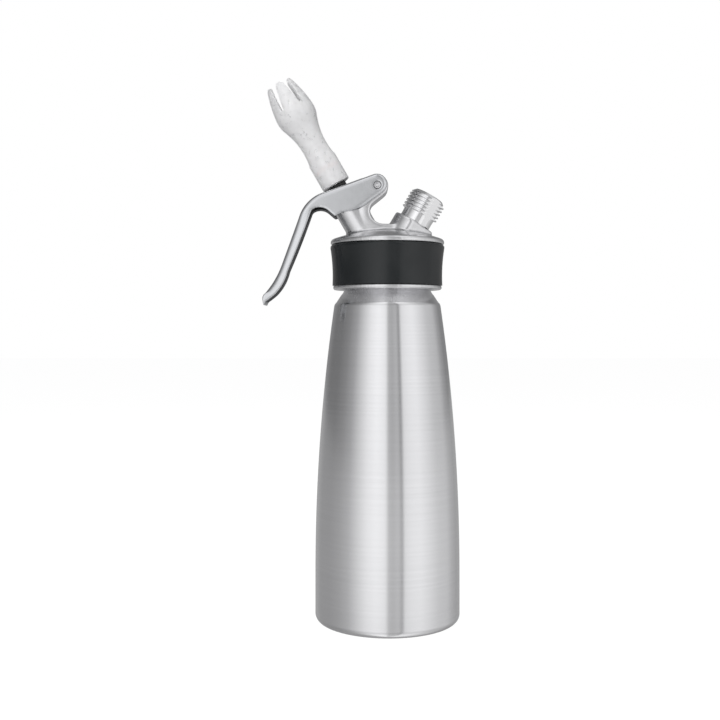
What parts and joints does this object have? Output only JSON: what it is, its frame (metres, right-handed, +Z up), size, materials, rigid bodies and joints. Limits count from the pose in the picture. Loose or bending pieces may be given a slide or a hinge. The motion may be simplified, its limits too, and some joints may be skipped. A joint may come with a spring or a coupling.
{
  "type": "whipped cream dispenser",
  "caption": "Steel cream dispenser with a tapered bottle, screw-on cast head, squeeze lever, tulip nozzle and threaded charger port.",
  "frame": {"origin": "middle of the bottle's flat foot", "axes": "+Z up along the bottle's axis, +X towards the charger port, lever and nozzle on the -X side"},
  "size_m": [0.1247, 0.092, 0.3456],
  "materials": {
    "bottle_steel": "fine satin, brushed around the bottle",
    "cast_steel": "bead-blasted satin",
    "lever_steel": "satin cheeks, brighter back",
    "port_steel": "polished",
    "polished_steel": "turned and polished",
    "spring_steel": "drawn wire",
    "bush_brass": "turned",
    "grip_rubber": "satin silicone rubber",
    "seal_rubber": "plain",
    "silicone": "soft silicone",
    "frosted_plastic": "frosted, slightly see-through"
  },
  "bodies": {
    "bottle": {"bottle": "bottle_steel"},
    "gasket": {"head_gasket": "silicone"},
    "head": {"head_casting": "cast_steel", "grip_band": "grip_rubber", "lever_pin": "polished_steel", "valve_seat_bush": "bush_brass", "valve_spring": "spring_steel", "stem_seal_ring": "seal_rubber", "gland_nut": "polished_steel", "charger_port": "port_steel", "port_seal": "seal_rubber", "charger_seal": "seal_rubber", "piercing_pin": "polished_steel", "gas_filter": "bush_brass", "check_retainer": "bush_brass", "check_spring": "spring_steel"},
    "lever": {"lever": "lever_steel"},
    "valve": {"valve_stem": "polished_steel", "valve_poppet": "polished_steel", "poppet_seal": "seal_rubber", "spring_collar": "polished_steel"},
    "washer": {"nozzle_washer": "silicone"},
    "nozzle": {"nozzle_tip": "frosted_plastic", "nozzle_insert": "polished_steel"},
    "check_ball": {"check_ball": "polished_steel"}
  },
  "joints": [
    {"name": "head_rise", "type": "slide", "parent": "bottle", "child": "gasket", "axis": [0, 0, 1], "range_m": [0, 0.00801]},
    {"name": "head_turn", "type": "hinge", "parent": "gasket", "child": "head", "pos_m": [0, 0, 0.232], "axis": [0, 0, 1], "range_deg": [0, 720]},
    {"name": "lever_squeeze", "type": "hinge", "parent": "head", "child": "lever", "pos_m": [-0.0066, 0, 0.2763], "axis": [0, -1, 0], "range_deg": [0, 7.9]},
    {"name": "valve_press", "type": "slide", "parent": "head", "child": "valve", "axis": [0.5, 0, -0.866], "range_m": [0, 0.00302], "stiffness_N_per_m": 300, "springref_m": -0.004},
    {"name": "nozzle_rise", "type": "slide", "parent": "valve", "child": "washer", "axis": [-0.5, 0, 0.866], "range_m": [0, 0.0098]},
    {"name": "nozzle_turn", "type": "hinge", "parent": "washer", "child": "nozzle", "pos_m": [-0.035, 0, 0.28202], "axis": [-0.5, 0, 0.866], "range_deg": [0, 2340]},
    {"name": "check_ball_lift", "type": "slide", "parent": "head", "child": "check_ball", "axis": [-0.5, 0, -0.866], "range_m": [0, 0.001], "stiffness_N_per_m": 100, "springref_m": -0.001}
  ],
  "couplings": [
    {"joint": "head_rise", "follows": "head_turn", "m_per_rad": 0.00063662},
    {"joint": "valve_press", "follows": "lever_squeeze", "m_per_rad": 0.0218},
    {"joint": "nozzle_rise", "follows": "nozzle_turn", "m_per_rad": 0.00023873}
  ]
}
